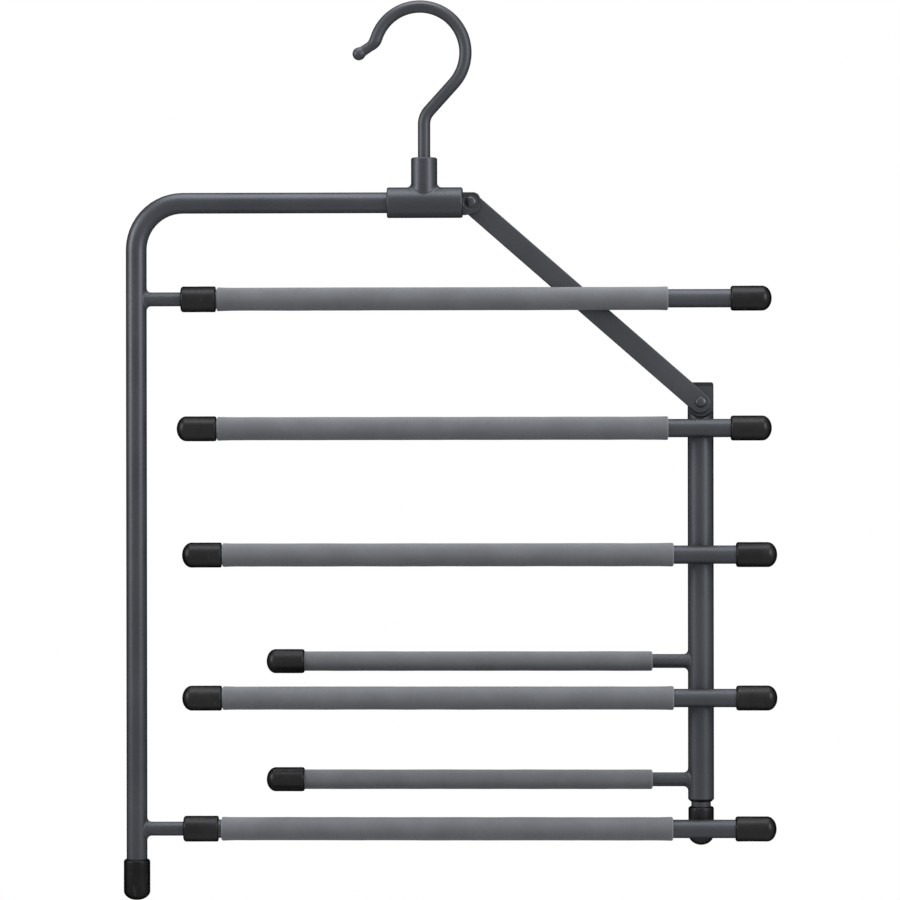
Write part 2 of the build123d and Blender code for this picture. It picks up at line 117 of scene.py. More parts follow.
def start_finish(name):
    """New material, with its nodes and its shader."""
    material = bpy.data.materials.new(name)
    material.use_nodes = True
    return material, material.node_tree, material.node_tree.nodes["Principled BSDF"]


def mix_colours(tree, mask, first, second):
    """Mix of two colours by a mask from 0 to 1. Either colour may be another mix."""
    mix = add(tree, "ShaderNodeMix", data_type="RGBA")
    factor, first_colour, second_colour = mix.inputs[0], mix.inputs[6], mix.inputs[7]
    join(tree, (mask, factor))
    for socket, colour in ((first_colour, first), (second_colour, second)):
        if isinstance(colour, tuple):
            socket.default_value = (*colour, 1.0)
        else:
            join(tree, (colour, socket))
    return mix.outputs[2]


def vary_roughness(tree, shader, mask, smooth, rough):
    """Roughness that follows a mask from a smooth value to a rough one."""
    spread = add(tree, "ShaderNodeMapRange", {"To Min": smooth, "To Max": rough})
    join(
        tree,
        (mask, spread.inputs["Value"]),
        (spread.outputs["Result"], shader.inputs["Roughness"]),
    )


def raise_skin(tree, shader, height, strength, depth):
    """Relief of the skin, of a depth in metres."""
    bump = add(tree, "ShaderNodeBump", {"Strength": strength, "Distance": depth})
    join(tree, (height, bump.inputs["Height"]), (bump.outputs["Normal"], shader.inputs["Normal"]))


def powder_coat(name, dark, pale, grain, roughness, peel_depth=0.00004):
    """Powder coat that mixes two near colours, with fine paler grains. Its edges stay dark."""
    metal_share, edge_tint = 0.85, 0.2
    smoother, rougher = 0.03, 0.04
    material, tree, shader = start_finish(name)
    shader.inputs["Metallic"].default_value = metal_share
    shader.inputs["Specular IOR Level"].default_value = 0.0
    shader.inputs["Specular Tint"].default_value = (edge_tint, edge_tint, edge_tint, 1.0)
    skin = add(tree, "ShaderNodeGroup", node_tree=powder_skin)
    clouded = mix_colours(tree, skin.outputs["Cloud"], dark, pale)
    grained = mix_colours(tree, skin.outputs["Grain"], clouded, grain)
    join(tree, (grained, shader.inputs["Base Color"]))
    vary_roughness(tree, shader, skin.outputs["Cloud"], roughness - smoother, roughness + rougher)
    raise_skin(tree, shader, skin.outputs["Peel"], strength=0.5, depth=peel_depth)
    return material


def finish_node(name, material):
    """Give a CAD piece its material."""
    piece = frame["nodes"][name]
    piece.data.materials.clear()
    piece.data.materials.append(material)


charcoal = powder_coat(
    "charcoal powder coat", dark=(0.046, 0.049, 0.055), pale=(0.055, 0.058, 0.065),
    grain=(0.085, 0.089, 0.097), roughness=0.42,
)
finish_node("main_tube", charcoal)


# Foot cap of the frame tube: black rubber, dipped, pushed over the tube's open end. Its mouth
# has a rolled rim and its closed end is a low dome. Its colour is a darker copy of the black
# rubber: painted shade.
rubber_skin, skin_in, skin_out = start_group(
    "rubber skin", {"Pore Scale": 2200.0, "Bloom Scale": 60.0}, ("Pores", "Bloom", "Scuffs")
)
place = add(rubber_skin, "ShaderNodeTexCoord")
pores = add(rubber_skin, "ShaderNodeTexNoise", {"Detail": 2.0, "Roughness": 0.6})
bloom = add(rubber_skin, "ShaderNodeTexNoise", {"Detail": 5.0, "Roughness": 0.6})
bloom_spread = add(rubber_skin, "ShaderNodeMapRange", {"From Min": 0.38, "From Max": 0.68})
stretch = add(
    rubber_skin, "ShaderNodeMapping", {"Scale": (1.0, 1.0, 0.22), "Rotation": (0.3, 0.5, 0.0)}
)
scuffs = add(rubber_skin, "ShaderNodeTexNoise", {"Scale": 420.0, "Detail": 2.0})
scuff_edge = add(rubber_skin, "ShaderNodeMapRange", {"From Min": 0.66, "From Max": 0.74})
join(
    rubber_skin,
    (place.outputs["Object"], pores.inputs["Vector"]),
    (place.outputs["Object"], bloom.inputs["Vector"]),
    (place.outputs["Object"], stretch.inputs["Vector"]),
    (stretch.outputs["Vector"], scuffs.inputs["Vector"]),
    (skin_in.outputs["Pore Scale"], pores.inputs["Scale"]),
    (skin_in.outputs["Bloom Scale"], bloom.inputs["Scale"]),
    (bloom.outputs["Fac"], bloom_spread.inputs["Value"]),
    (scuffs.outputs["Fac"], scuff_edge.inputs["Value"]),
    (pores.outputs["Fac"], skin_out.inputs["Pores"]),
    (bloom_spread.outputs["Result"], skin_out.inputs["Bloom"]),
    (scuff_edge.outputs["Result"], skin_out.inputs["Scuffs"]),
)


def rubber(name, deep, bloomed, scuffed, roughness, pore_depth=0.00003, specular=0.0, sheen=0.0):
    """Matte rubber with a chalky bloom and faint scuffs. Any sheen darkens towards the edges."""
    edge_tint = 0.1
    smoother, rougher = 0.05, 0.06
    material, tree, shader = start_finish(name)
    shader.inputs["Specular IOR Level"].default_value = specular
    shader.inputs["Metallic"].default_value = sheen
    if sheen:
        shader.inputs["Specular Tint"].default_value = (edge_tint, edge_tint, edge_tint, 1.0)
    skin = add(tree, "ShaderNodeGroup", node_tree=rubber_skin)
    chalky = mix_colours(tree, skin.outputs["Bloom"], deep, bloomed)
    worn = mix_colours(tree, skin.outputs["Scuffs"], chalky, scuffed)
    join(tree, (worn, shader.inputs["Base Color"]))
    vary_roughness(tree, shader, skin.outputs["Bloom"], roughness - smoother, roughness + rougher)
    raise_skin(tree, shader, skin.outputs["Pores"], strength=0.6, depth=pore_depth)
    return material


def start_piece(name, primitive, **shape):
    """Add a primitive with nothing else selected, apply its place and open it in edit mode."""
    bpy.ops.object.select_all(action="DESELECT")
    primitive(**shape)
    bpy.ops.object.transform_apply(location=True, rotation=True, scale=True)
    piece = bpy.context.object
    piece.name = name
    bpy.ops.object.mode_set(mode="EDIT")
    return piece


def close_piece(smooth_angle=40):
    """Turn the open piece's faces outwards, leave edit mode and shade it smooth up to an angle."""
    bpy.ops.mesh.select_all(action="SELECT")
    bpy.ops.mesh.normals_make_consistent(inside=False)
    bpy.ops.object.mode_set(mode="OBJECT")
    bpy.ops.object.shade_smooth_by_angle(angle=math.radians(smooth_angle))


def pick(piece, kind, test):
    """In edit mode, select only the vertices, edges or faces whose middle passes the test."""
    bpy.ops.mesh.select_mode(type=kind)
    bpy.ops.mesh.select_all(action="DESELECT")
    shape = bmesh.from_edit_mesh(piece.data)
    if kind == "VERT":
        for vertex in shape.verts:
            vertex.select_set(test(vertex.co))
    elif kind == "EDGE":
        for edge in shape.edges:
            edge.select_set(test((edge.verts[0].co + edge.verts[1].co) / 2))
    else:
        for face in shape.faces:
            face.select_set(test(face.calc_center_median()))
    bmesh.update_edit_mesh(piece.data)


def turn_in(share, centre, depth):
    """Fold the selected rim round X inwards to a share of its radius, then along the bore."""
    bpy.ops.mesh.extrude_region_move()
    bpy.ops.transform.resize(value=(1, share, share), center_override=centre)
    bpy.ops.mesh.extrude_region_move(TRANSFORM_OT_translate={"value": (depth, 0, 0)})


def apply_all(piece):
    """Apply every modifier of a piece."""
    for modifier in list(piece.modifiers):
        bpy.ops.object.modifier_apply(modifier=modifier.name)


def domed_cap(name, length, radius, dome, bore_radius, bore_depth, rim):
    """Rubber cap along X with its mouth at the origin: a flattened ball drawn out to the mouth."""
    crown = length - dome
    near = radius * 0.01
    cap = start_piece(
        name, bpy.ops.mesh.primitive_uv_sphere_add,
        segments=72, ring_count=28, radius=radius,
        location=(crown, 0, 0), rotation=(0, math.pi / 2, 0),
    )
    pick(cap, "VERT", lambda p: p.x < crown - near)
    bpy.ops.mesh.delete(type="VERT")
    bpy.ops.mesh.select_all(action="SELECT")
    bpy.ops.transform.resize(value=(dome / radius, 1, 1), center_override=(crown, 0, 0))
    pick(cap, "EDGE", lambda p: p.x < crown + near)
    for share in (0.25, 0.55, 0.8, 1.0):
        bpy.ops.mesh.extrude_region_move()
        edge_x = max(
            vertex.co.x for vertex in bmesh.from_edit_mesh(cap.data).verts if vertex.select
        )
        bpy.ops.transform.translate(value=(crown * (1 - share) - edge_x, 0, 0))
    turn_in(bore_radius / radius, (0, 0, 0), bore_depth)
    bpy.ops.mesh.edge_face_add()
    bpy.ops.mesh.select_all(action="SELECT")
    bpy.ops.mesh.remove_doubles(threshold=1e-6)
    pick(cap, "EDGE", lambda p: p.x < near and math.hypot(p.y, p.z) > radius - near)
    bpy.ops.mesh.bevel(offset=rim, segments=5, profile=0.5)
    close_piece()
    return cap


def set_in_place(piece, turn, where):
    """Turn a mesh about Y and move it to its place, with its object left at the origin."""
    piece.data.transform(Matrix.Translation(Vector(where)) @ Matrix.Rotation(turn, 4, "Y"))


def soften(piece, lump_size, lump_height):
    """Slight lumps of a soft moulding, applied to the mesh."""
    lumps = bpy.data.textures.new(piece.name + " lumps", type="CLOUDS")
    lumps.noise_scale = lump_size
    bpy.ops.object.select_all(action="DESELECT")
    piece.select_set(True)
    bpy.context.view_layer.objects.active = piece
    displace = piece.modifiers.new("lumps", "DISPLACE")
    displace.texture = lumps
    displace.texture_coords = "LOCAL"
    displace.strength = lump_height
    apply_all(piece)


# Painted shade: the frame's foot cap gets the black rubber below in darker colours.
foot_rubber = rubber(
    "foot rubber shaded darker", deep=(0.012, 0.012, 0.0127), bloomed=(0.016, 0.016, 0.0168),
    scuffed=(0.025, 0.025, 0.0262), roughness=0.42, sheen=0.85,
)
black_rubber = rubber(
    "black rubber", deep=(0.019, 0.019, 0.0198), bloomed=(0.0245, 0.0245, 0.0255),
    scuffed=(0.029, 0.029, 0.03), roughness=0.39, sheen=0.85,
)


def cap_finish(piece, node, body, finish=black_rubber):
    """Rubber, body and node of a cap."""
    piece.data.materials.clear()
    piece.data.materials.append(finish)
    soften(piece, lump_size=0.009, lump_height=0.00012)
    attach(piece, body)
    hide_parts(node)


low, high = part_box("frame_foot_cap")
foot = domed_cap(
    "frame_foot_rubber", length=high.z - low.z, radius=(high.x - low.x) / 2, dome=0.0046,
    bore_radius=0.0052, bore_depth=0.0165, rim=0.0014,
)
set_in_place(foot, math.pi / 2, ((low.x + high.x) / 2, 0, high.z))
cap_finish(foot, "frame_foot_cap", "frame", foot_rubber)


# Stubs: two rods welded to the left tube, which carry bars 1 and 5. The weld is one bead all
# round, painted over, and its small waves still show through the coat.
weld_waves, bead_in, bead_out = start_group(
    "weld waves", {"Joint X": 0.0, "Centre Z": 0.0, "Centre Y": 0.0, "Reach": 0.006}, ("Waves",)
)
waves_around, wobble_depth = 22.0, 5.0
place = add(weld_waves, "ShaderNodeTexCoord")
parts = add(weld_waves, "ShaderNodeSeparateXYZ")
out_x = add(weld_waves, "ShaderNodeMath", operation="SUBTRACT")
far_x = add(weld_waves, "ShaderNodeMath", operation="ABSOLUTE")
near_bead = add(
    weld_waves, "ShaderNodeMapRange", {"From Min": 0.0, "To Min": 1.0, "To Max": 0.0},
    interpolation_type="SMOOTHSTEP",
)
side_y = add(weld_waves, "ShaderNodeMath", operation="SUBTRACT")
side_z = add(weld_waves, "ShaderNodeMath", operation="SUBTRACT")
around = add(weld_waves, "ShaderNodeMath", operation="ARCTAN2")
turns = add(weld_waves, "ShaderNodeMath", {1: waves_around}, operation="MULTIPLY")
wobble = add(weld_waves, "ShaderNodeTexNoise", {"Scale": 300.0, "Detail": 2.0})
wobble_turns = add(weld_waves, "ShaderNodeMath", {1: wobble_depth}, operation="MULTIPLY")
phase = add(weld_waves, "ShaderNodeMath", operation="ADD")
wave = add(weld_waves, "ShaderNodeMath", operation="SINE")
shown = add(weld_waves, "ShaderNodeMath", operation="MULTIPLY")
join(
    weld_waves,
    (place.outputs["Object"], parts.inputs["Vector"]),
    (place.outputs["Object"], wobble.inputs["Vector"]),
    (parts.outputs["X"], out_x.inputs[0]),
    (bead_in.outputs["Joint X"], out_x.inputs[1]),
    (out_x.outputs[0], far_x.inputs[0]),
    (far_x.outputs[0], near_bead.inputs["Value"]),
    (bead_in.outputs["Reach"], near_bead.inputs["From Max"]),
    (parts.outputs["Y"], side_y.inputs[0]),
    (bead_in.outputs["Centre Y"], side_y.inputs[1]),
    (parts.outputs["Z"], side_z.inputs[0]),
    (bead_in.outputs["Centre Z"], side_z.inputs[1]),
    (side_z.outputs[0], around.inputs[0]),
    (side_y.outputs[0], around.inputs[1]),
    (around.outputs[0], turns.inputs[0]),
    (wobble.outputs["Fac"], wobble_turns.inputs[0]),
    (turns.outputs[0], phase.inputs[0]),
    (wobble_turns.outputs[0], phase.inputs[1]),
    (phase.outputs[0], wave.inputs[0]),
    (wave.outputs[0], shown.inputs[0]),
    (near_bead.outputs["Result"], shown.inputs[1]),
    (shown.outputs[0], bead_out.inputs["Waves"]),
)
bead_middle, bead_reach = 0.0035, 0.0045


def welded_finish(name, joint_x, centre_y, centre_z):
    """Powder coat of a rod, with the waves of its weld bead under the paint."""
    material = powder_coat(
        name + " powder coat", dark=(0.044, 0.047, 0.053), pale=(0.053, 0.056, 0.063),
        grain=(0.082, 0.086, 0.094), roughness=0.47,
    )
    tree = material.node_tree
    waves = add(
        tree, "ShaderNodeGroup",
        {"Joint X": joint_x, "Centre Y": centre_y, "Centre Z": centre_z, "Reach": bead_reach},
        node_tree=weld_waves,
    )
    bead = add(tree, "ShaderNodeBump", {"Strength": 0.25, "Distance": 0.00008})
    peel_bump = tree.nodes["Principled BSDF"].inputs["Normal"].links[0].from_node
    join(
        tree,
        (waves.outputs["Waves"], bead.inputs["Height"]),
        (bead.outputs["Normal"], peel_bump.inputs["Normal"]),
    )
    finish_node(name, material)


for name in ("bar_1_stub", "bar_5_stub"):
    low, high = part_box(name)
    welded_finish(name, low.x + bead_middle, 0.0, (low.z + high.z) / 2)


# Long bars: 9.2 mm steel tube in a coat a shade paler and duller. Bars 1 and 5 slide over their
# stubs, and bars 2, 3 and 4 are bedded in the front of the post.
bar_coat = powder_coat(
    "bar powder coat", dark=(0.048, 0.051, 0.057), pale=(0.056, 0.059, 0.066),
    grain=(0.082, 0.086, 0.094), roughness=0.48,
)
for number in range(1, 6):
    finish_node(f"bar_{number}_tube", bar_coat)


# Ferrules: black rubber collars that close the joint of stub and bar on bars 1 and 5. One is
# moulded with a rounded nose over the rod, and a copy serves the other bar.
low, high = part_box("bar_1_ferrule")
ferrule_radius = (high.z - low.z) / 2
ferrule_length = high.x - low.x
tolerance = 1e-5
first_ferrule = start_piece(
    "bar_1_ferrule_rubber", bpy.ops.mesh.primitive_cylinder_add,
    vertices=72, radius=ferrule_radius, depth=ferrule_length, end_fill_type="NOTHING",
    location=(ferrule_length / 2, 0, 0), rotation=(0, math.pi / 2, 0),
)
pick(first_ferrule, "EDGE", lambda p: 0.1 < p.x / ferrule_length < 0.9)
bpy.ops.mesh.subdivide(number_cuts=7)


def pick_ferrule_rim(end_x):
    """Select the outer rim at one end of the ferrule."""
    pick(
        first_ferrule, "EDGE",
        lambda p: abs(p.x - end_x) < tolerance and math.hypot(p.y, p.z) > ferrule_radius * 0.99,
    )


rod_bore, rod_depth = 0.00357, 0.0028
bar_bore, bar_depth = 0.00467, 0.014
for end_x, bore, depth in ((0.0, rod_bore, rod_depth), (ferrule_length, bar_bore, -bar_depth)):
    pick_ferrule_rim(end_x)
    turn_in(bore / ferrule_radius, (end_x, 0, 0), depth)
pick_ferrule_rim(0.0)
bpy.ops.mesh.bevel(offset=0.0014, segments=6, profile=0.5)
pick_ferrule_rim(ferrule_length)
bpy.ops.mesh.bevel(offset=0.0007, segments=4, profile=0.5)
close_piece()
second_ferrule = first_ferrule.copy()
second_ferrule.data = first_ferrule.data.copy()
second_ferrule.name = "bar_5_ferrule_rubber"
bpy.context.collection.objects.link(second_ferrule)
for piece, node in ((first_ferrule, "bar_1_ferrule"), (second_ferrule, "bar_5_ferrule")):
    low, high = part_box(node)
    set_in_place(piece, 0.0, (low.x, (low.y + high.y) / 2, (low.z + high.z) / 2))
    cap_finish(piece, node, "frame")


# Sleeves: grey non-slip rubber, extruded, cut to length and drawn over each bar and arm. Their
# cut ends have a rounded rim, painted paler as a highlight where it catches the light. On the
# bars they stand a little wider as well.
grey_skin = rubber(
    "grey sleeve rubber", deep=(0.108, 0.1125, 0.121), bloomed=(0.123, 0.129, 0.139),
    scuffed=(0.1185, 0.1235, 0.1335), roughness=0.62, specular=0.03,
)
# Painted highlight: near each cut end the sleeve colour is mixed towards a paler grey, for light on
# the rounded rim.
rim_highlight_colour, highlight_reach = (0.23, 0.24, 0.252), 0.0007
tree = grey_skin.node_tree
base_colour = tree.nodes["Principled BSDF"].inputs["Base Color"]
rim_highlight_mask = add(tree, "ShaderNodeAttribute", attribute_name="cut_rim_highlight")
highlighted = mix_colours(tree, rim_highlight_mask.outputs["Fac"], base_colour.links[0].from_socket, rim_highlight_colour)
join(tree, (highlighted, base_colour))


def sleeve(name, node, body, bore_radius, flare, slices):
    """Sleeve on a bar along X, at the place of its CAD node."""
    flare_reach, bore_depth, rim = 0.006, 0.004, 0.0009
    low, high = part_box(node)
    centre = (low + high) / 2
    length = high.x - low.x
    radius = (high.z - low.z) / 2 - flare
    piece = start_piece(
        name, bpy.ops.mesh.primitive_cylinder_add,
        vertices=72, radius=radius, depth=length, end_fill_type="NOTHING",
        location=centre, rotation=(0, math.pi / 2, 0),
    )
    pick(piece, "EDGE", lambda p: abs(p.x - centre.x) < length * 0.4)
    bpy.ops.mesh.subdivide(number_cuts=slices)
    for end_x, inward in ((low.x, 1), (high.x, -1)):
        end_centre = (end_x, centre.y, centre.z)
        if flare:
            pick(piece, "VERT", lambda p: abs(p.x - end_x) < tolerance)
            wider = (radius + flare) / radius
            bpy.ops.transform.resize(
                value=(1, wider, wider), center_override=end_centre,
                use_proportional_edit=True, proportional_edit_falloff="SMOOTH",
                proportional_size=flare_reach,
            )
        pick(piece, "EDGE", lambda p: abs(p.x - end_x) < tolerance)
        turn_in(bore_radius / (radius + flare), end_centre, inward * bore_depth)
        pick(
            piece, "EDGE",
            lambda p: (
                abs(p.x - end_x) < tolerance
                and math.hypot(p.y - centre.y, p.z - centre.z) > radius * 0.99
            ),
        )
        bpy.ops.mesh.bevel(offset=rim, segments=6, profile=0.5)
    close_piece()
    soften(piece, lump_size=0.014, lump_height=0.0002)
    # Painted highlight mask: 1 at each cut end, falling to 0 over the highlight reach.
    rim_highlights = piece.data.attributes.new("cut_rim_highlight", "FLOAT", "POINT")
    for index, vertex in enumerate(piece.data.vertices):
        edge_gap = min(vertex.co.x - low.x, high.x - vertex.co.x)
        rim_highlights.data[index].value = max(0.0, 1.0 - edge_gap / highlight_reach)
    piece.data.materials.append(grey_skin)
    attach(piece, body)
    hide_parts(node)


for number in range(1, 6):
    body = "frame" if number in (1, 5) else "post"
    sleeve(
        f"bar_{number}_grip", f"bar_{number}_sleeve", body,
        bore_radius=0.00463, flare=0.0002, slices=60,
    )
for letter in "ab":
    sleeve(
        f"arm_{letter}_grip", f"arm_{letter}_sleeve", "post",
        bore_radius=0.00353, flare=0.0, slices=48,
    )


# End caps of the bars: the same black rubber, one on each free end. The right caps are one
# moulding and the left caps a slightly shorter one, pushed over the bare tube. The arms' caps
# are pushed over the end of the sleeve.
low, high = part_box("bar_1_cap")
right_cap = domed_cap(
    "bar_1_cap_rubber", length=high.x - low.x, radius=(high.z - low.z) / 2, dome=0.0048,
    bore_radius=0.00463, bore_depth=0.017, rim=0.0012,
)
low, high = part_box("bar_2_left_cap")
left_cap = domed_cap(
    "bar_2_left_cap_rubber", length=high.x - low.x, radius=(high.z - low.z) / 2, dome=0.0048,
    bore_radius=0.00463, bore_depth=0.0163, rim=0.0008,
)
low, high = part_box("arm_a_cap")
arm_cap = domed_cap(
    "arm_a_cap_rubber", length=high.x - low.x, radius=(high.z - low.z) / 2, dome=0.0046,
    bore_radius=0.00493, bore_depth=0.0155, rim=0.0012,
)
caps = [
    (right_cap, f"bar_{number}_cap", "frame" if number in (1, 5) else "post")
    for number in range(1, 6)
]
caps += [(left_cap, f"bar_{number}_left_cap", "post") for number in (2, 3, 4)]
caps += [(arm_cap, f"arm_{letter}_cap", "post") for letter in "ab"]
for moulding, node, body in caps:
    low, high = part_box(node)
    piece = moulding.copy()
    piece.data = moulding.data.copy()
    bpy.context.collection.objects.link(piece)
    to_left = moulding is not right_cap
    mouth_x = high.x if to_left else low.x
    turn = math.pi if to_left else 0.0
    set_in_place(piece, turn, (mouth_x, (low.y + high.y) / 2, (low.z + high.z) / 2))
    piece.name = node + "_moulding"
    cap_finish(piece, node, body)
for moulding in (right_cap, left_cap, arm_cap):
    bpy.data.objects.remove(moulding)


# Tee: a casting that slides over the top tube, with a socket for the hook and a flat tongue for
# the brace. Its coat is a little thicker than on drawn tube and its peel is coarser. It fills
# the corner of the ring that is sunk into the tongue for the rivet.
tee_coat = powder_coat(
    "tee powder coat", dark=(0.046, 0.049, 0.055), pale=(0.054, 0.057, 0.064),
    grain=(0.082, 0.086, 0.094), roughness=0.45, peel_depth=0.00006,
)
finish_node("hanger_tee", tee_coat)

pin_low, pin_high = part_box("tee_rivet")
tongue_front_y = 0.00405
ring_radius, ring_depth, fillet_width, fillet_foot = 0.00425, 0.00035, 0.0005, 0.00375
sunk_outer_radius, sunk_inner_radius, sunk_depth, sunk_edge = 0.00432, 0.0037, 0.0004, 0.00003
pin = ((pin_low.x + pin_high.x) / 2, tongue_front_y, (pin_low.z + pin_high.z) / 2)
recess = start_piece(
    "tongue_recess_fillet", bpy.ops.mesh.primitive_circle_add,
    vertices=96, radius=ring_radius, location=pin, rotation=(math.pi / 2, 0, 0),
)
bpy.ops.mesh.select_all(action="SELECT")
at_radius, at_depth = ring_radius, 0.0
section = []
for step in range(1, 7):
    angle = step * math.pi / 12
    section.append((fillet_foot + fillet_width * math.cos(angle), ring_depth * math.sin(angle)))
section += [(sunk_inner_radius, sunk_depth), (sunk_outer_radius, sunk_depth)]
section += [(sunk_outer_radius, sunk_edge)]
for radius, depth in section:
    bpy.ops.mesh.extrude_region_move()
    bpy.ops.transform.resize(value=(radius / at_radius, 1, radius / at_radius), center_override=pin)
    bpy.ops.transform.translate(value=(0, depth - at_depth, 0))
    at_radius, at_depth = radius, depth
pick(
    recess, "EDGE",
    lambda p: (
        p.y < tongue_front_y + sunk_edge + tolerance
        and math.hypot(p.x - pin[0], p.z - pin[2]) > ring_radius * 0.99
    ),
)
bpy.ops.mesh.bridge_edge_loops()
close_piece()
recess.data.materials.append(tee_coat)
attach(recess, "frame")


# Hook: 6.2 mm steel wire, bent cold, which narrows to a neck before the ball forged on its end.
# It turns in the tee, on a steel collar that its peened stem holds. The rail rubs the crown smooth.
hook_coat = powder_coat(
    "hook powder coat", dark=(0.045, 0.047, 0.053), pale=(0.053, 0.056, 0.062),
    grain=(0.076, 0.079, 0.086), roughness=0.5, peel_depth=0.00002,
)
tree = hook_coat.node_tree
roughness = tree.nodes["Principled BSDF"].inputs["Roughness"]
place = add(tree, "ShaderNodeTexCoord")
from_crown = add(tree, "ShaderNodeVectorMath", operation="LENGTH")
rubbed = add(
    tree, "ShaderNodeMapRange",
    {"From Min": 0.004, "From Max": 0.014, "To Min": 0.3, "To Max": 0.5},
    interpolation_type="SMOOTHSTEP",
)
smoother = add(tree, "ShaderNodeMath", operation="MINIMUM")
join(
    tree,
    (place.outputs["Object"], from_crown.inputs[0]),
    (from_crown.outputs["Value"], rubbed.inputs["Value"]),
    (rubbed.outputs["Result"], smoother.inputs[0]),
    (roughness.links[0].from_socket, smoother.inputs[1]),
    (smoother.outputs[0], roughness),
)


def on_circle(centre_x, centre_z, radius, angle):
    """Point at an angle in degrees on a circle in the XZ plane."""
    angle = math.radians(angle)
    return Vector((centre_x + radius * math.cos(angle), 0, centre_z + radius * math.sin(angle)))


wire_low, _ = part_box("hook_wire")
collar_low, collar_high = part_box("hook_collar")
stem_x = (collar_low.x + collar_high.x) / 2
knee_radius, knee_z, knee_turn = 0.01, -0.05583, 42
loop_radius, loop_z, loop_start, loop_turn, loop_steps = 0.0232, -0.0201, -42, 203, 80
tighter_from, tighter_over, tighter_by, tighter_power = 50, 110, 0.00072, 1.2
corner = Vector((-0.022107, 0, -0.015424))
lip = Vector((-0.02435, 0, -0.01691))
ball = Vector((-0.03, 0, -0.02065))
corner_steps, lip_steps, dome_steps = 12, 16, 12
course = [Vector((stem_x, 0, collar_high.z))]
for turn in range(0, knee_turn + 1, 3):
    course.append(on_circle(stem_x + knee_radius, knee_z, knee_radius, 180 - turn))
for step in range(loop_steps + 1):
    angle = loop_start + loop_turn * step / loop_steps
    tighter = tighter_by * max(0.0, (angle - tighter_from) / tighter_over) ** tighter_power
    course.append(on_circle(0, loop_z, loop_radius - tighter, angle))
bend = course[-1]
for step in range(1, corner_steps + 1):
    share = step / corner_steps
    course.append(bend.lerp(corner, share).lerp(corner.lerp(lip, share), share))
course += [lip.lerp(ball, step / lip_steps) for step in range(1, lip_steps + 1)]

neck_radius, wire_growth = 0.00254, 0.00056
neck_end, growth_reach = 0.006, 0.0048
ball_radius, ball_depth, ball_end_radius, blend = 0.00309, 0.0032, 0.00323, 6
thickness = []
left = 0.0
for point, following in reversed(list(zip(course, course[1:] + [ball]))):
    left += (following - point).length
    swell = min(1.0, max(0.0, (left - neck_end) / growth_reach))
    wire_radius = neck_radius + wire_growth * swell * swell * (3 - 2 * swell)
    bulb_radius = math.sqrt(max(0.0, ball_radius ** 2 - left ** 2))
    thickness.insert(0, (wire_radius ** blend + bulb_radius ** blend) ** (1 / blend))
for step in range(1, dome_steps + 1):
    angle = math.radians(90 * step / dome_steps)
    course.append(ball + (ball - lip).normalized() * ball_depth * math.sin(angle))
    thickness.append(ball_end_radius * math.cos(angle))
tenon_radius, peened_radius, step_down = 0.0021, 0.003, 0.00002
for height, radius in (
    (collar_high.z - step_down, tenon_radius), (collar_low.z + step_down, tenon_radius),
    (collar_low.z, peened_radius), (wire_low.z, peened_radius),
):
    course.insert(0, Vector((stem_x, 0, height)))
    thickness.insert(0, radius)
bpy.ops.object.select_all(action="DESELECT")
bpy.ops.curve.primitive_bezier_curve_add(location=(0, 0, 0))
wire = bpy.context.object
wire.name = "hook_wire_bent"
wire.data.splines.clear()
line = wire.data.splines.new("POLY")
line.points.add(len(course) - 1)
for knot, point, radius in zip(line.points, course, thickness):
    knot.co = (*point, 1.0)
    knot.radius = radius
wire.data.bevel_depth = 1.0
wire.data.bevel_resolution = 14
wire.data.use_fill_caps = True
bpy.ops.object.convert(target="MESH")
bpy.ops.object.mode_set(mode="EDIT")
bpy.ops.mesh.select_all(action="SELECT")
bpy.ops.mesh.remove_doubles(threshold=2e-6)
close_piece()
wire.data.materials.append(hook_coat)
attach(wire, "hook")
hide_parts("hook_wire")

collar_steel, tree, shader = start_finish("turned steel collar")
shader.inputs["Metallic"].default_value = 1.0
skin = add(
    tree, "ShaderNodeGroup", {"Peel Scale": 3000.0, "Cloud Scale": 200.0}, node_tree=powder_skin
)
turned = mix_colours(tree, skin.outputs["Cloud"], (0.42, 0.42, 0.43), (0.52, 0.52, 0.53))
join(tree, (turned, shader.inputs["Base Color"]))
vary_roughness(tree, shader, skin.outputs["Peel"], smooth=0.28, rough=0.4)
finish_node("hook_collar", collar_steel)


# Post: 13 mm steel tube with a seat pressed into its front at the top for the brace. Bars 2 to 4
# and both arms are joined to it before it is coated.
post_coat = powder_coat(
    "post powder coat", dark=(0.044, 0.047, 0.052), pale=(0.053, 0.056, 0.062),
    grain=(0.082, 0.086, 0.093), roughness=0.46,
)
for name in ("post_tube", "post_spigot"):
    finish_node(name, post_coat)
post_low, post_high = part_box("post_tube")
for name in ("arm_a_rod", "arm_b_rod"):
    low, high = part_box(name)
    welded_finish(name, high.x - bead_middle, (post_low.y + post_high.y) / 2, (low.z + high.z) / 2)


# Plug and bush: black nylon mouldings pressed into the post's two ends. The plug closes the
# top, and the bush carries the spigot at the bottom.
nylon = rubber(
    "black nylon", deep=(0.027, 0.0277, 0.0292), bloomed=(0.034, 0.0348, 0.0366),
    scuffed=(0.042, 0.043, 0.045), roughness=0.36, pore_depth=0.00001, sheen=0.8,
)
finish_node("post_bottom_bush", nylon)

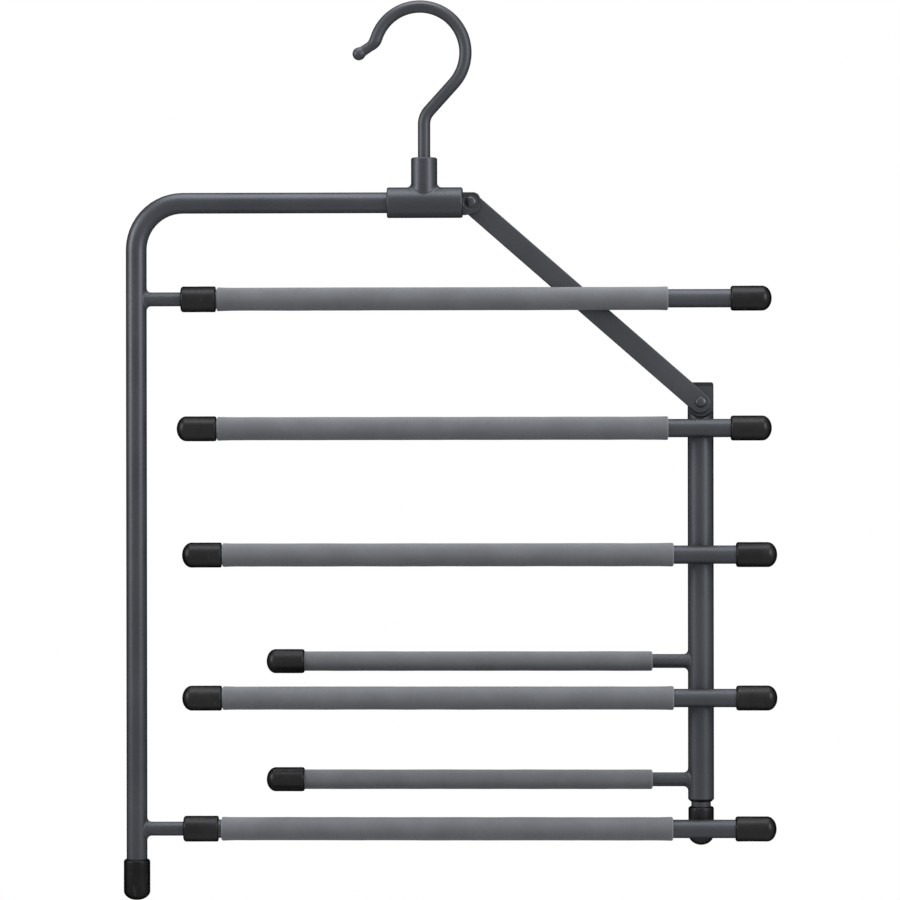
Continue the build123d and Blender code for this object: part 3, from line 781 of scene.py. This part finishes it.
low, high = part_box("post_top_plug")
post_centre = (post_low + post_high) / 2
fine_tolerance = 1e-6
front_y = low.y - 0.0002
plug = start_piece(
    "post_plug_moulding", bpy.ops.mesh.primitive_cylinder_add,
    vertices=96, radius=0.00644, depth=high.z - post_high.z, end_fill_type="NGON",
    location=(post_centre.x, post_centre.y, (high.z + post_high.z) / 2),
)
pick(plug, "FACE", lambda p: p.z > high.z - fine_tolerance)
bpy.ops.mesh.region_to_loop()
bpy.ops.mesh.bevel(offset=0.0012, segments=8, profile=0.5)
bpy.ops.mesh.select_all(action="SELECT")
bpy.ops.mesh.bisect(plane_co=(0, front_y, 0), plane_no=(0, -1, 0), use_fill=True, clear_outer=True)
pick(plug, "EDGE", lambda p: p.y < front_y + tolerance and p.z > high.z - fine_tolerance)
bpy.ops.mesh.bevel(offset=0.0003, segments=4, profile=0.5)
shank_inset, dish_inset, dish_depth = 0.0015, 0.0016, 0.0003
pick(plug, "FACE", lambda p: p.z < post_high.z + fine_tolerance)
bpy.ops.mesh.inset(thickness=shank_inset)
bpy.ops.mesh.extrude_region_move(TRANSFORM_OT_translate={"value": (0, 0, low.z - post_high.z)})
pick(plug, "FACE", lambda p: p.z > high.z - fine_tolerance)
bpy.ops.mesh.inset(thickness=dish_inset)
bpy.ops.transform.translate(value=(0, 0, -dish_depth))
close_piece()
plug.data.materials.append(nylon)
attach(plug, "post")
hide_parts("post_top_plug")


# Foot cap of the post: black rubber, dipped, pushed over the spigot at the post's lower end. Its
# closed end is a low dome, and it stands behind bar 5.
low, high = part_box("post_foot_cap")
post_foot = domed_cap(
    "post_foot_rubber", length=high.z - low.z, radius=(high.x - low.x) / 2, dome=0.0054,
    bore_radius=0.00493, bore_depth=0.0155, rim=0.0012,
)
set_in_place(post_foot, math.pi / 2, ((low.x + high.x) / 2, (low.y + high.y) / 2, high.z))
cap_finish(post_foot, "post_foot_cap", "post")


# Brace: flat steel bar, stamped out and tumbled, so that its edges are round to the touch. It
# turns on a rivet at each end and is coated before it is riveted.
brace_width, brace_thickness, brace_edge = 0.0104, 0.002, 0.0005
end_shift, hole_offset, hole_radius = 0.0023, 0.0005, 0.00155
tee_low, tee_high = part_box("tee_rivet")
end_low, end_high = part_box("post_rivet")
tee_pin = (tee_low + tee_high) / 2
post_pin = (end_low + end_high) / 2
brace_low, brace_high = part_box("brace_bar")
brace_run = Vector((post_pin.x - tee_pin.x, 0, post_pin.z - tee_pin.z))
middle_y = (brace_low.y + brace_high.y) / 2
brace = start_piece(
    "brace_plate", bpy.ops.mesh.primitive_cylinder_add,
    vertices=96, radius=brace_width / 2, depth=brace_thickness, end_fill_type="NGON",
    location=(end_shift, middle_y, -hole_offset), rotation=(math.pi / 2, 0, 0),
)
pick(brace, "VERT", lambda p: p.x > end_shift + fine_tolerance)
bpy.ops.transform.translate(value=(brace_run.length - end_shift, 0, 0))
pick(brace, "EDGE", lambda p: abs(abs(p.y - middle_y) - brace_thickness / 2) < fine_tolerance)
bpy.ops.mesh.bevel(offset=brace_edge, segments=5, profile=0.5)
bpy.ops.mesh.select_all(action="SELECT")
bpy.ops.mesh.normals_make_consistent(inside=False)
bpy.ops.object.mode_set(mode="OBJECT")
for hole_x in (0.0, brace_run.length):
    bpy.ops.mesh.primitive_cylinder_add(
        vertices=48, radius=hole_radius, depth=brace_thickness * 2, location=(hole_x, middle_y, 0),
        rotation=(math.pi / 2, 0, 0),
    )
    punch = bpy.context.object
    bpy.ops.object.select_all(action="DESELECT")
    brace.select_set(True)
    bpy.context.view_layer.objects.active = brace
    hole = brace.modifiers.new("hole", "BOOLEAN")
    hole.object = punch
    hole.operation = "DIFFERENCE"
    apply_all(brace)
    bpy.data.objects.remove(punch)
bpy.ops.object.shade_smooth_by_angle(angle=math.radians(30))
set_in_place(brace, math.atan2(-brace_run.z, brace_run.x), (tee_pin.x, 0, tee_pin.z))
brace_coat = powder_coat(
    "brace powder coat", dark=(0.046, 0.049, 0.055), pale=(0.055, 0.058, 0.065),
    grain=(0.078, 0.082, 0.089), roughness=0.46, peel_depth=0.00005,
)
brace.data.materials.append(brace_coat)
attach(brace, "brace")
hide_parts("brace_bar")


# Rivets: steel, closed by spinning, which leaves a low dome at each end. They are touched up in
# the same coat, which lies a little smoother on them.
rivet_coat = powder_coat(
    "rivet powder coat", dark=(0.05, 0.053, 0.058), pale=(0.06, 0.063, 0.069),
    grain=(0.085, 0.088, 0.094), roughness=0.38, peel_depth=0.00003,
)


def domed_rivet(name, node, body, skirt):
    """Rivet along Y, domed at both ends. A skirt brings its rear dome forward to meet a tube."""
    head_height, shank_radius, past_shank = 0.0012, 0.0015, 0.0016
    dome_share, rim_share = 0.8, 0.2
    low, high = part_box(node)
    centre = (low + high) / 2
    head_radius = (high.x - low.x) / 2
    under = low.y + head_height
    head_centre = (centre.x, under, centre.z)
    rivet = start_piece(
        name, bpy.ops.mesh.primitive_uv_sphere_add,
        segments=48, ring_count=32, radius=head_radius,
        location=head_centre, rotation=(math.pi / 2, 0, 0),
    )
    pick(rivet, "VERT", lambda p: p.y > under + fine_tolerance)
    bpy.ops.mesh.delete(type="VERT")
    bpy.ops.mesh.select_all(action="SELECT")
    bpy.ops.transform.resize(
        value=(1, head_height / head_radius * dome_share, 1), center_override=head_centre
    )
    pick(rivet, "EDGE", lambda p: p.y > under - fine_tolerance)
    bpy.ops.mesh.extrude_region_move()
    pick(rivet, "VERT", lambda p: p.y < under - fine_tolerance)
    bpy.ops.mesh.select_more()
    bpy.ops.transform.translate(value=(0, -head_height * rim_share, 0))
    pick(rivet, "EDGE", lambda p: p.y > under - fine_tolerance)
    bpy.ops.mesh.extrude_region_move()
    shank = shank_radius / head_radius
    bpy.ops.transform.resize(value=(shank, 1, shank), center_override=head_centre)
    bpy.ops.mesh.extrude_region_move(TRANSFORM_OT_translate={"value": (0, centre.y - under, 0)})
    bpy.ops.object.mode_set(mode="OBJECT")
    other_end = rivet.modifiers.new("other end", "MIRROR")
    other_end.use_axis = (False, True, False)
    midway = bpy.data.objects.new("midway", None)
    midway.location = centre
    bpy.context.collection.objects.link(midway)
    other_end.mirror_object = midway
    other_end.merge_threshold = 1e-6
    apply_all(rivet)
    bpy.data.objects.remove(midway)
    bpy.ops.object.mode_set(mode="EDIT")
    rear_under = high.y - head_height
    pick(
        rivet, "VERT",
        lambda p: (
            abs(p.y - rear_under) < fine_tolerance
            and math.hypot(p.x - centre.x, p.z - centre.z) > past_shank
        ),
    )
    bpy.ops.transform.translate(value=(0, -skirt, 0))
    bpy.ops.mesh.select_all(action="SELECT")
    bpy.ops.mesh.remove_doubles(threshold=1e-7)
    close_piece(smooth_angle=50)
    rivet.data.materials.append(rivet_coat)
    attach(rivet, body)
    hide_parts(node)


domed_rivet("tee_rivet_domed", "tee_rivet", "frame", skirt=0.0)
domed_rivet("post_rivet_domed", "post_rivet", "post", skirt=0.0006)


# Stage: a pale floor well below the hanging frame, which keeps the object's shadow. It fades out
# towards its edge, so that it has no rim in any view, and it can be seen through from below.
floor_z, floor_radius, floor_colour = -0.95, 1.1, (0.75, 0.75, 0.75, 1.0)
bpy.ops.object.select_all(action="DESELECT")
bpy.ops.mesh.primitive_circle_add(
    vertices=96, radius=floor_radius, fill_type="NGON", location=(0, 0, floor_z)
)
floor = bpy.context.object
floor.name = "floor"
floor_paint, tree, shader = start_finish("pale floor")
shader.inputs["Base Color"].default_value = floor_colour
shader.inputs["Roughness"].default_value = 0.9
shader.inputs["Specular IOR Level"].default_value = 0.1
place = add(tree, "ShaderNodeTexCoord")
from_middle = add(tree, "ShaderNodeVectorMath", operation="LENGTH")
fade = add(
    tree, "ShaderNodeMapRange", {"From Min": 0.45, "From Max": 1.08, "To Min": 1.0, "To Max": 0.0},
    interpolation_type="SMOOTHSTEP",
)
underside = add(tree, "ShaderNodeNewGeometry")
open_below = add(tree, "ShaderNodeMath", {0: 1.0}, operation="SUBTRACT")
alpha = add(tree, "ShaderNodeMath", operation="MULTIPLY")
join(
    tree,
    (place.outputs["Object"], from_middle.inputs[0]),
    (from_middle.outputs["Value"], fade.inputs["Value"]),
    (underside.outputs["Backfacing"], open_below.inputs[1]),
    (fade.outputs["Result"], alpha.inputs[0]),
    (open_below.outputs[0], alpha.inputs[1]),
    (alpha.outputs[0], shader.inputs["Alpha"]),
)
floor.data.materials.append(floor_paint)


# Light: soft boxes at the left, right and top, and a white surround that the camera and the
# reflections see, while the object gets only a part of its light.
def soft_box(name, where, aim, width, height, power):
    """Area light at a place, turned towards a point."""
    lamp = bpy.data.lights.new(name, "AREA")
    lamp.shape = "RECTANGLE"
    lamp.size = width
    lamp.size_y = height
    lamp.energy = power
    holder = bpy.data.objects.new(name, lamp)
    bpy.context.collection.objects.link(holder)
    holder.location = where
    holder.visible_camera = False
    holder.rotation_euler = (Vector(aim) - Vector(where)).to_track_quat("-Z", "Y").to_euler()


middle = (0.015, 0.0, -0.22)
soft_box("left box", where=(-1.1, -0.45, 0.15), aim=middle, width=0.35, height=0.8, power=10.5)
soft_box("right box", where=(0.93, -0.77, 0.15), aim=middle, width=0.35, height=0.8, power=10.5)
soft_box(
    "top box", where=(0.0, 0.2, 0.95), aim=(0.0, 0.2, -0.22), width=1.3, height=1.85, power=39.5
)

world = bpy.data.worlds.new("white surround")
bpy.context.scene.world = world
world.use_nodes = True
tree = world.node_tree
backdrop = tree.nodes["Background"]
backdrop.inputs["Color"].default_value = (1.0, 1.0, 1.0, 1.0)
rays = add(tree, "ShaderNodeLightPath")
seen = add(tree, "ShaderNodeMath", operation="MAXIMUM")
seen_through = add(tree, "ShaderNodeMath", operation="MAXIMUM")
level = add(tree, "ShaderNodeMapRange", {"To Min": 0.32, "To Max": 1.0})
join(
    tree,
    (rays.outputs["Is Camera Ray"], seen.inputs[0]),
    (rays.outputs["Is Glossy Ray"], seen.inputs[1]),
    (seen.outputs[0], seen_through.inputs[0]),
    (rays.outputs["Is Transmission Ray"], seen_through.inputs[1]),
    (seen_through.outputs[0], level.inputs["Value"]),
    (level.outputs["Result"], backdrop.inputs["Strength"]),
)


# Camera: a long lens two metres in front, level with the middle of the frame, as in the
# photograph. It stands slightly to the right and is rolled by a trace.
yaw, roll, distance = math.radians(-1.135), math.radians(-0.08), 2.0
aim = Vector((0.01523, 0.0, -0.21846))
ahead = Vector((math.sin(yaw), math.cos(yaw), 0.0))
camera = bpy.data.cameras.new("camera")
camera.lens = 160.3
camera.sensor_width = 36.0
camera.clip_end = 50.0
holder = bpy.data.objects.new("camera", camera)
bpy.context.collection.objects.link(holder)
holder.location = aim - ahead * distance
facing = ahead.to_track_quat("-Z", "Y").to_matrix() @ Matrix.Rotation(roll, 3, "Z")
holder.rotation_euler = facing.to_euler()
bpy.context.scene.camera = holder
bpy.context.scene.view_settings.view_transform = "Standard"
